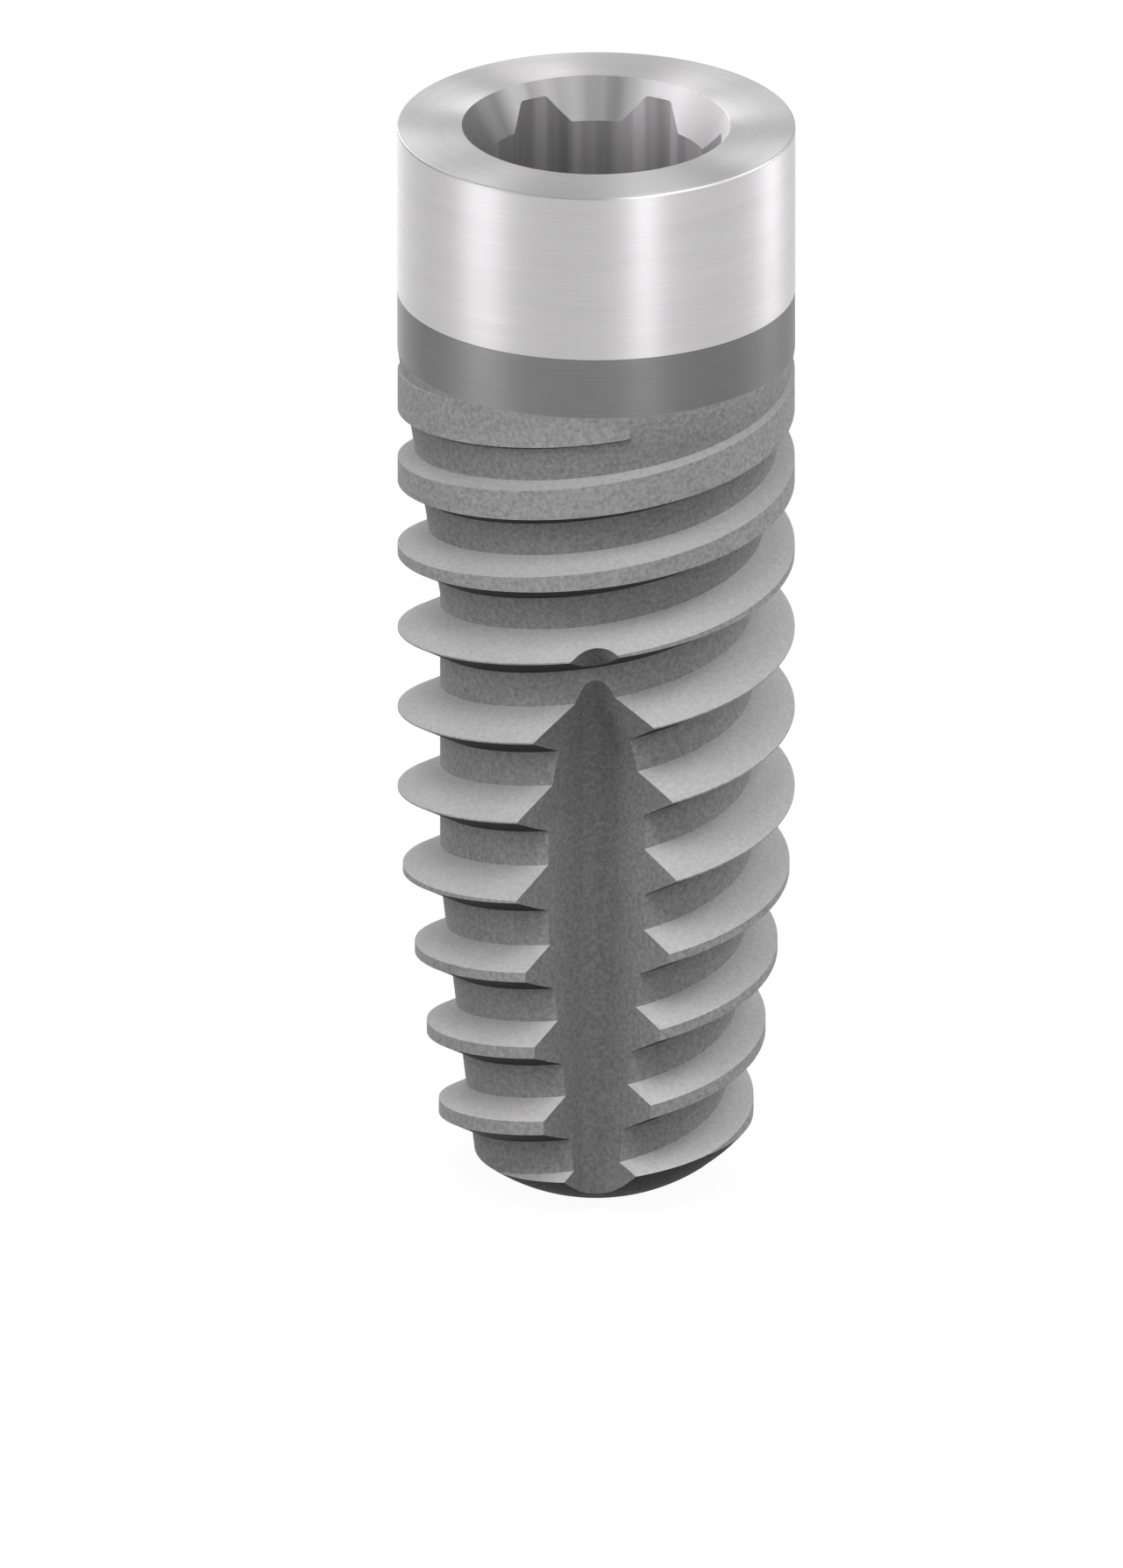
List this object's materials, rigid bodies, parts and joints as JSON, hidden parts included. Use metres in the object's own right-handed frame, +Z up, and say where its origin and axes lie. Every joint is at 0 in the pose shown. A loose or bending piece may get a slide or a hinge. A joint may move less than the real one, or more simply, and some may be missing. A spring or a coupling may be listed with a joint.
{
  "type": "dental implant",
  "caption": "One-piece threaded titanium tooth root with a polished collar, six-lobed drive socket, tapping flutes and a domed apex.",
  "frame": {"origin": "centre of the small flat on the apex, the lowest point of the implant", "axes": "+Z up along the implant's axis, from the apex to the platform; -Y towards the front tapping flute and one of the socket's bosses"},
  "size_m": [0.0036, 0.0036, 0.0099],
  "materials": {
    "titanium": "commercially pure titanium: turned and polished on the collar and in the socket, etched on the band, grit-blasted on the thread"
  },
  "bodies": {
    "root": {"implant_body": "titanium"}
  },
  "joints": []
}
